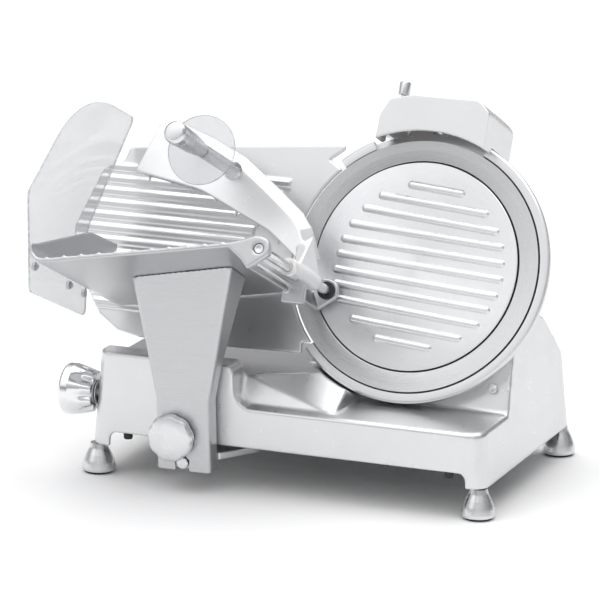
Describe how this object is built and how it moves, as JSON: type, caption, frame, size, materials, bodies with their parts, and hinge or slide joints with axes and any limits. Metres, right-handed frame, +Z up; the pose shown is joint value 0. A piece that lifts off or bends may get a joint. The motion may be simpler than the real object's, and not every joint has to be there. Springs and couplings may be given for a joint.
{
  "type": "deli meat slicer",
  "caption": "Gravity-feed meat slicer with a leaning round blade, a sliding tray with a clear hand guard, a swinging pusher arm and a built-in sharpener.",
  "frame": {"origin": "on the ground, under the middle of the overall outline at rest", "axes": "+X to the operator's right along the carriage stroke, +Y away from the operator, +Z up"},
  "size_m": [0.5995, 0.4653, 0.4616],
  "materials": {
    "cast_aluminium": "satin silver paint on an aluminium casting",
    "brushed_aluminium": "fine brushed, anodised",
    "polished_steel": "polished",
    "chrome": "mirror",
    "steel": "machined",
    "rubber": "matte",
    "black_plastic": "fine texture",
    "nylon": "smooth",
    "clear_plastic": "clear",
    "stone": "abrasive grit",
    "green_plastic": "smooth",
    "red_plastic": "smooth"
  },
  "bodies": {
    "base": {"base_housing": "cast_aluminium", "bottom_cover": "steel", "foot_front_left": "chrome", "foot_front_right": "chrome", "foot_rear_left": "chrome", "foot_rear_right": "chrome", "pad_front_left": "rubber", "pad_front_right": "rubber", "pad_rear_left": "rubber", "pad_rear_right": "rubber", "slide_rod": "chrome", "guide_rail": "steel", "rod_bracket_left": "steel", "rod_bracket_right": "steel", "ring_guard": "cast_aluminium", "ring_bolt": "steel", "motor_body": "black_plastic", "spindle_housing": "cast_aluminium", "blade_bearing": "chrome", "drive_belt": "rubber", "knob_collar": "chrome", "switch_plate": "black_plastic", "cable_gland": "black_plastic", "stud_left": "rubber", "stud_right": "rubber", "sharpener_post": "chrome", "cover_plate": "polished_steel", "cover_tie_rod": "steel", "gauge_guide_pin": "chrome"},
    "blade_rotor": {"blade": "polished_steel", "blade_shaft": "steel", "blade_pulley": "steel"},
    "motor_rotor": {"motor_pulley": "steel"},
    "cover_screw": {"cover_knob": "black_plastic"},
    "on_switch": {"on_button": "green_plastic"},
    "off_switch": {"off_button": "red_plastic"},
    "gauge": {"gauge_plate": "cast_aluminium", "gauge_carrier": "steel"},
    "thickness_control": {"thickness_knob": "chrome", "thickness_shaft": "steel"},
    "carriage": {"tray": "brushed_aluminium", "column": "brushed_aluminium", "carriage_foot": "steel", "slide_shoe": "nylon", "hand_guard": "clear_plastic", "pusher_rod": "chrome", "rod_bumper": "rubber", "guide_bar": "chrome", "latch_pin": "chrome"},
    "carriage_screw": {"carriage_knob": "chrome"},
    "pusher_slider": {"pusher_bush": "nylon"},
    "pusher": {"pusher_arm": "cast_aluminium", "spike_strip": "steel", "pusher_handle": "chrome", "handle_disc": "clear_plastic"},
    "sharpener": {"sharpener_housing": "cast_aluminium"},
    "grinding": {"grinding_pin": "chrome", "grinding_stone": "stone"},
    "honing": {"honing_pin": "chrome", "honing_stone": "stone"}
  },
  "joints": [
    {"name": "carriage_slide", "type": "slide", "parent": "base", "child": "carriage", "axis": [1, 0, 0], "range_m": [0, 0.27]},
    {"name": "carriage_knob_turn", "type": "hinge", "parent": "carriage", "child": "carriage_screw", "pos_m": [-0.0965, -0.14, 0.068], "axis": [0, -1, 0], "range_deg": [-180, 180]},
    {"name": "pusher_slide", "type": "slide", "parent": "carriage", "child": "pusher_slider", "axis": [0, -0.9135, 0.4067], "range_m": [-0.046, 0.09]},
    {"name": "pusher_swing", "type": "hinge", "parent": "pusher_slider", "child": "pusher", "pos_m": [0.0395, -0.08198, 0.26446], "axis": [0, -0.9135, 0.4067], "range_deg": [-40, 31]},
    {"name": "blade_spin", "type": "hinge", "parent": "base", "child": "blade_rotor", "pos_m": [0.137, 0.06341, 0.2468], "axis": [0, -0.9135, 0.4067], "continuous": true},
    {"name": "motor_spin", "type": "hinge", "parent": "base", "child": "motor_rotor", "pos_m": [0.157, 0.04486, 0.15106], "axis": [0, -0.9135, 0.4067], "continuous": true},
    {"name": "cover_knob_turn", "type": "hinge", "parent": "base", "child": "cover_screw", "pos_m": [0.137, 0.11, 0.22605], "axis": [0, -0.9135, 0.4067], "range_deg": [-180, 180]},
    {"name": "gauge_slide", "type": "slide", "parent": "base", "child": "gauge", "axis": [0, 0.9135, -0.4067], "range_m": [0, 0.015]},
    {"name": "thickness_turn", "type": "hinge", "parent": "base", "child": "thickness_control", "pos_m": [-0.244, -0.077, 0.095], "axis": [-1, 0, 0], "range_deg": [0, 330]},
    {"name": "sharpener_lift", "type": "slide", "parent": "base", "child": "sharpener", "axis": [0, 0.4067, 0.9135], "range_m": [0, 0.04]},
    {"name": "grinding_press", "type": "slide", "parent": "sharpener", "child": "grinding", "axis": [0, -0.4067, -0.9135], "range_m": [0, 0.004], "stiffness_N_per_m": 300, "springref_m": -0.002},
    {"name": "honing_press", "type": "slide", "parent": "sharpener", "child": "honing", "axis": [0, -0.4067, -0.9135], "range_m": [0, 0.003], "stiffness_N_per_m": 300, "springref_m": -0.002},
    {"name": "on_press", "type": "slide", "parent": "base", "child": "on_switch", "axis": [0.9968, 0, -0.0797], "range_m": [0, 0.002], "stiffness_N_per_m": 400, "springref_m": -0.001},
    {"name": "off_press", "type": "slide", "parent": "base", "child": "off_switch", "axis": [0.9968, 0, -0.0797], "range_m": [0, 0.002], "stiffness_N_per_m": 400, "springref_m": -0.001}
  ],
  "couplings": [
    {"joint": "motor_spin", "follows": "blade_spin", "ratio": 2},
    {"joint": "thickness_turn", "follows": "gauge_slide", "rad_per_m": 383.97}
  ]
}
